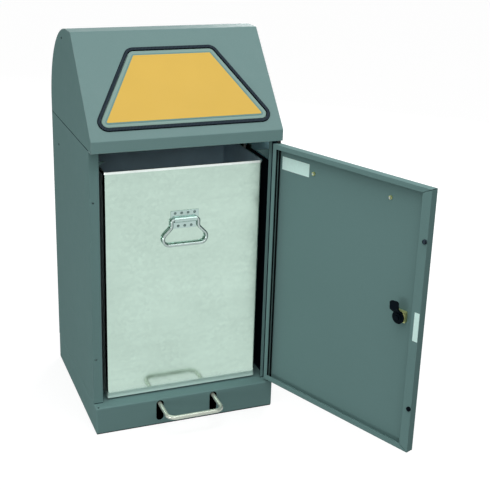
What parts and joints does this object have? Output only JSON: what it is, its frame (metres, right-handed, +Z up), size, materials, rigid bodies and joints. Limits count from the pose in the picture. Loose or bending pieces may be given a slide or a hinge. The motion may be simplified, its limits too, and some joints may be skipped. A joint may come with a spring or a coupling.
{
  "type": "pedal recycling bin",
  "caption": "Floor-standing sheet-steel recycling bin: sloped hood with a pedal-worked flap, hinged front door with a cam lock, and a pull-out galvanised liner with a bail handle.",
  "frame": {"origin": "on the floor under the middle of the plinth", "axes": "+Z up, -Y towards the front with the flap, pedal and door, +X towards the door's hinge"},
  "size_m": [0.5482, 0.7431, 0.822],
  "materials": {
    "paint": "satin grey-green powder coat on folded steel",
    "flap_paint": "satin pale grey-green powder coat",
    "border": "satin grey-teal coat",
    "yellow": "plain yellow film",
    "galvanised": "galvanised sheet, satin",
    "zinc": "bright zinc plate",
    "steel": "plain steel",
    "rubber": "black rubber",
    "nylon": "black nylon",
    "lock_metal": "nickel plate",
    "black": "black coat",
    "brass": "plain brass",
    "sign": "plain pale plate with no text"
  },
  "bodies": {
    "cabinet": {"base_plinth": "paint", "floor_pads": "rubber", "floor_rib": "paint", "side_left": "paint", "side_right": "paint", "back_panel": "paint", "hood_skin": "paint", "hood_cheek_left": "paint", "hood_cheek_right": "paint", "flap_trim": "rubber", "flap_brackets": "galvanised", "rod_guides": "galvanised", "return_spring": "steel", "pedal_bearings": "galvanised", "liner_rails": "galvanised", "liner_stop": "paint", "liner_guides": "paint", "door_pins": "steel", "body_rivets": "steel"},
    "flap": {"flap_panel": "flap_paint", "flap_face": "border", "flap_decal": "yellow", "flap_rod": "steel", "flap_lever": "steel"},
    "push_rod": {"push_rod": "steel", "rod_pin": "steel", "rod_collar": "steel", "rod_foot": "nylon"},
    "pedal": {"pedal_rod": "zinc", "pedal_axle": "steel", "pedal_arm": "steel"},
    "door": {"door_pan": "paint", "hinge_strip": "nylon", "door_buffers": "rubber", "lock_barrel": "lock_metal", "lock_nut": "brass", "sign_plate": "sign", "sign_screws": "steel", "sign_nuts": "brass"},
    "lock_cam": {"lock_plug": "lock_metal", "lock_cam": "black", "cam_screw": "black"},
    "liner": {"liner_front": "galvanised", "liner_back": "galvanised", "liner_floor": "galvanised", "liner_end_left": "galvanised", "liner_end_right": "galvanised", "liner_rim": "galvanised", "handle_plate": "zinc", "handle_rivets": "steel"},
    "bail": {"bail": "zinc"}
  },
  "joints": [
    {"name": "door_hinge", "type": "hinge", "parent": "cabinet", "child": "door", "pos_m": [0.194, -0.185, 0.338], "axis": [0, 0, 1], "range_deg": [-112.4, 37.6]},
    {"name": "lock_turn", "type": "hinge", "parent": "door", "child": "lock_cam", "pos_m": [0.31358, -0.504, 0.34], "axis": [0.9245, 0.3811, 0], "range_deg": [0, 98]},
    {"name": "liner_slide", "type": "slide", "parent": "cabinet", "child": "liner", "axis": [0, -1, 0], "range_m": [0, 0.33]},
    {"name": "bail_hinge", "type": "hinge", "parent": "liner", "child": "bail", "pos_m": [0, -0.16555, 0.455], "axis": [-1, 0, 0], "range_deg": [0, 95]},
    {"name": "pedal_hinge", "type": "hinge", "parent": "cabinet", "child": "pedal", "pos_m": [0, -0.11, 0.049], "axis": [1, 0, 0], "range_deg": [0, 16], "stiffness_Nm_per_rad": 6, "springref_deg": -34.38},
    {"name": "push_rod_slide", "type": "slide", "parent": "cabinet", "child": "push_rod", "axis": [0, 0, 1], "range_m": [0, 0.02629], "deforming": ["return_spring"]},
    {"name": "flap_hinge", "type": "hinge", "parent": "cabinet", "child": "flap", "pos_m": [0, -0.03885, 0.78794], "axis": [1, 0, 0], "range_deg": [0, 60.1]}
  ],
  "couplings": [
    {"joint": "push_rod_slide", "follows": "pedal_hinge", "m_per_rad": 0.093439},
    {"joint": "flap_hinge", "follows": "pedal_hinge", "ratio": 3.75}
  ]
}
